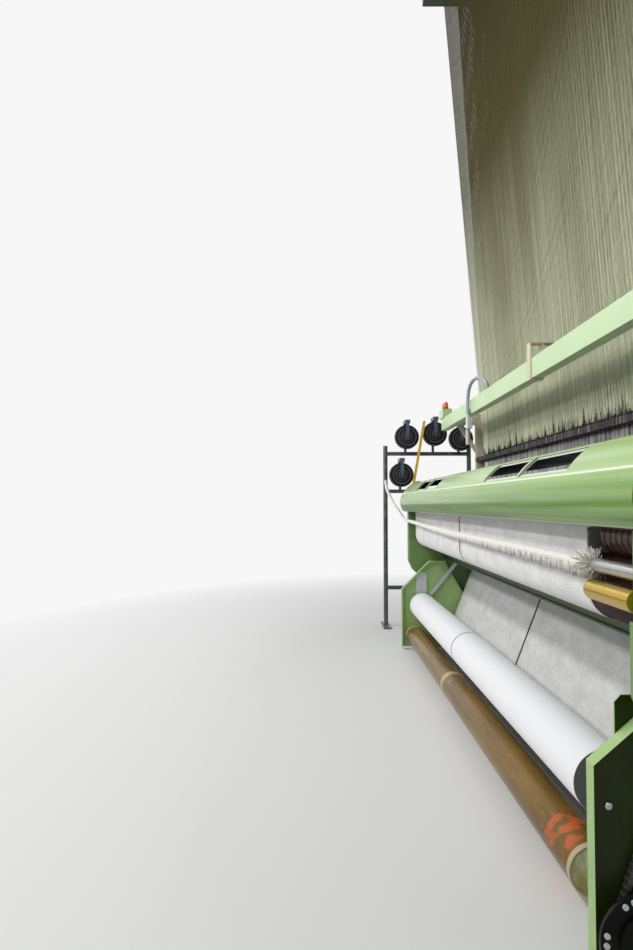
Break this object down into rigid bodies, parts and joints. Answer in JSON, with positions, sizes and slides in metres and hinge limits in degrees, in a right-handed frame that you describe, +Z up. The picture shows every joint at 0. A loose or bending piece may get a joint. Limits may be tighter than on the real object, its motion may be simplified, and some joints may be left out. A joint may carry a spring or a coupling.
{
  "type": "power loom",
  "caption": "Wide rapier power loom with a jacquard harness, two cloths wide, with take-up stand, cloth roll, weft feeders and overhead jacquard head.",
  "frame": {"origin": "on the floor, at the centre of the four anchor holes in the side frames' feet", "axes": "+X to the weaver's right along the cloth's width, +Y from the weaver's side to the warp beam, +Z up"},
  "size_m": [5.54, 1.8699, 5.36],
  "materials": {
    "green_paint": "semi-gloss",
    "dark_green_paint": "semi-gloss",
    "mint_paint": "semi-gloss",
    "cream_paint": "satin",
    "bright_steel": "ground",
    "dark_steel": "oiled",
    "guide_paint": "satin",
    "brown_lacquer": "glossy",
    "take_up_rubber": "rough",
    "black_plastic": "satin",
    "cloth": "woven",
    "roll_cloth": "woven",
    "rope": "loose yarn",
    "harness_cord": "matt",
    "heddle_wire": "satin",
    "warp_yarn": "matt",
    "polished_brass": "polished",
    "comber_dark": "matt",
    "lamp_orange": "clear",
    "conduit_grey": "satin",
    "feeder_blue": "satin",
    "feeder_dark": "satin",
    "drive_brown": "satin",
    "rim_pale": "satin"
  },
  "bodies": {
    "frame": {"side_frame_left": "green_paint", "side_frame_right": "green_paint", "front_cross_tube": "dark_green_paint", "rear_cross_tubes": "green_paint", "stand_plate_left": "green_paint", "stand_plate_right": "green_paint", "roll_guides": "guide_paint", "take_up_chain": "dark_steel", "cloth": "cloth", "breast_bar": "bright_steel", "breast_cover": "green_paint", "cover_nose": "green_paint", "cover_end_cap": "black_plastic", "window_rims": "rim_pale", "selvage_rope": "rope", "selvage_drive": "drive_brown", "warp_sheet": "warp_yarn", "drop_wire_rack": "heddle_wire", "comber_board": "comber_dark", "heddles": "heddle_wire", "harness": "harness_cord", "over_beam": "mint_paint", "beam_strap": "cream_paint", "beam_posts": "cream_paint", "signal_lamps": "lamp_orange", "conduit": "conduit_grey", "feeder_stand": "dark_steel", "feeder_casings": "feeder_blue", "main_motor": "dark_green_paint", "belt_guard": "mint_paint", "control_cabinet": "mint_paint", "gantry": "dark_green_paint", "jacquard_head": "mint_paint"},
    "front_roller_body": {"front_roller": "brown_lacquer", "front_roller_shaft": "dark_steel", "hub_cover": "black_plastic", "chain_wheel_lower": "dark_steel"},
    "chain_wheel_body": {"chain_wheel_upper": "dark_steel"},
    "roll_body": {"cloth_roll": "roll_cloth", "roll_core": "dark_steel"},
    "take_up_body": {"take_up_roller": "take_up_rubber"},
    "press_roller_body": {"press_roller": "bright_steel"},
    "upper_guide_body": {"upper_guide_roller": "bright_steel"},
    "lower_guide_body": {"lower_guide_roller": "bright_steel"},
    "lever_left_body": {"press_lever_left": "guide_paint"},
    "lever_right_body": {"press_lever_right": "guide_paint"},
    "sley_body": {"sley": "bright_steel", "reed": "bright_steel"},
    "rapier_left_body": {"rapier_head_left": "dark_steel"},
    "rapier_right_body": {"rapier_head_right": "dark_steel"},
    "wheel_left_body": {"rapier_wheel_left": "dark_steel"},
    "wheel_right_body": {"rapier_wheel_right": "dark_steel"},
    "warp_beam_body": {"warp_beam": "bright_steel"},
    "back_rest_body": {"back_rest": "bright_steel"},
    "steel_roller_body": {"selvage_roller_steel": "bright_steel"},
    "brass_roller_body": {"selvage_roller_brass": "polished_brass"},
    "flyer_1_body": {"feeder_flyer_1": "feeder_dark"},
    "flyer_2_body": {"feeder_flyer_2": "feeder_dark"},
    "flyer_3_body": {"feeder_flyer_3": "feeder_dark"},
    "flyer_4_body": {"feeder_flyer_4": "feeder_dark"}
  },
  "joints": [
    {"name": "warp_beam_spin", "type": "hinge", "parent": "frame", "child": "warp_beam_body", "pos_m": [0, 0.56, 0.56], "axis": [1, 0, 0], "continuous": true},
    {"name": "back_rest_spin", "type": "hinge", "parent": "frame", "child": "back_rest_body", "pos_m": [0, 0.7, 1.12], "axis": [1, 0, 0], "continuous": true},
    {"name": "take_up_spin", "type": "hinge", "parent": "frame", "child": "take_up_body", "pos_m": [0, -0.675, 0.79], "axis": [1, 0, 0], "continuous": true},
    {"name": "press_roller_spin", "type": "hinge", "parent": "frame", "child": "press_roller_body", "pos_m": [0, -0.57385, 0.8484], "axis": [1, 0, 0], "continuous": true},
    {"name": "upper_guide_spin", "type": "hinge", "parent": "frame", "child": "upper_guide_body", "pos_m": [0, -0.374, 0.631], "axis": [1, 0, 0], "continuous": true},
    {"name": "lower_guide_spin", "type": "hinge", "parent": "frame", "child": "lower_guide_body", "pos_m": [0, -0.542, 0.201], "axis": [1, 0, 0], "continuous": true},
    {"name": "cloth_roll_spin", "type": "hinge", "parent": "frame", "child": "roll_body", "pos_m": [0, -0.72, 0.3], "axis": [1, 0, 0], "continuous": true},
    {"name": "front_roller_spin", "type": "hinge", "parent": "frame", "child": "front_roller_body", "pos_m": [0, -0.77, 0.102], "axis": [1, 0, 0], "continuous": true, "deforming": ["take_up_chain"]},
    {"name": "chain_wheel_spin", "type": "hinge", "parent": "frame", "child": "chain_wheel_body", "pos_m": [0, -0.63969, 0.46002], "axis": [1, 0, 0], "continuous": true},
    {"name": "steel_roller_spin", "type": "hinge", "parent": "frame", "child": "steel_roller_body", "pos_m": [0, -0.776, 0.854], "axis": [1, 0, 0], "continuous": true},
    {"name": "brass_roller_spin", "type": "hinge", "parent": "frame", "child": "brass_roller_body", "pos_m": [0, -0.786, 0.797], "axis": [1, 0, 0], "continuous": true},
    {"name": "left_lever_lift", "type": "hinge", "parent": "frame", "child": "lever_left_body", "pos_m": [-1.767, -0.47, 0.604], "axis": [-1, 0, 0], "range_deg": [0, 30]},
    {"name": "right_lever_lift", "type": "hinge", "parent": "frame", "child": "lever_right_body", "pos_m": [1.767, -0.47, 0.604], "axis": [-1, 0, 0], "range_deg": [0, 30]},
    {"name": "sley_swing", "type": "hinge", "parent": "frame", "child": "sley_body", "pos_m": [0, -0.345, 0.79], "axis": [1, 0, 0], "range_deg": [0, 22]},
    {"name": "left_wheel_turn", "type": "hinge", "parent": "sley_body", "child": "wheel_left_body", "pos_m": [-2.219, -0.396, 0.7514], "axis": [0, 1, 0], "range_deg": [0, 424]},
    {"name": "right_wheel_turn", "type": "hinge", "parent": "sley_body", "child": "wheel_right_body", "pos_m": [2.219, -0.396, 0.7514], "axis": [0, -1, 0], "range_deg": [0, 424]},
    {"name": "left_rapier_slide", "type": "slide", "parent": "sley_body", "child": "rapier_left_body", "axis": [1, 0, 0], "range_m": [0, 1.63]},
    {"name": "right_rapier_slide", "type": "slide", "parent": "sley_body", "child": "rapier_right_body", "axis": [-1, 0, 0], "range_m": [0, 1.63]},
    {"name": "flyer_1_spin", "type": "hinge", "parent": "frame", "child": "flyer_1_body", "pos_m": [0, -0.715, 1.545], "axis": [1, 0, 0], "continuous": true},
    {"name": "flyer_2_spin", "type": "hinge", "parent": "frame", "child": "flyer_2_body", "pos_m": [0, -0.487, 1.57], "axis": [1, 0, 0], "continuous": true},
    {"name": "flyer_3_spin", "type": "hinge", "parent": "frame", "child": "flyer_3_body", "pos_m": [0, -0.275, 1.53], "axis": [1, 0, 0], "continuous": true},
    {"name": "flyer_4_spin", "type": "hinge", "parent": "frame", "child": "flyer_4_body", "pos_m": [0, -0.76, 1.236], "axis": [1, 0, 0], "continuous": true}
  ],
  "couplings": [
    {"joint": "back_rest_spin", "follows": "warp_beam_spin", "ratio": 4.7143},
    {"joint": "take_up_spin", "follows": "warp_beam_spin", "ratio": 3.9759},
    {"joint": "press_roller_spin", "follows": "warp_beam_spin", "ratio": -11},
    {"joint": "upper_guide_spin", "follows": "warp_beam_spin", "ratio": -11},
    {"joint": "lower_guide_spin", "follows": "warp_beam_spin", "ratio": -11},
    {"joint": "cloth_roll_spin", "follows": "warp_beam_spin", "ratio": -3.8823},
    {"joint": "front_roller_spin", "follows": "warp_beam_spin", "ratio": 4},
    {"joint": "chain_wheel_spin", "follows": "warp_beam_spin", "ratio": 4},
    {"joint": "steel_roller_spin", "follows": "warp_beam_spin", "ratio": 18.333},
    {"joint": "brass_roller_spin", "follows": "warp_beam_spin", "ratio": -13.2},
    {"joint": "left_rapier_slide", "follows": "left_wheel_turn", "m_per_rad": 0.22},
    {"joint": "right_rapier_slide", "follows": "right_wheel_turn", "m_per_rad": 0.22}
  ]
}
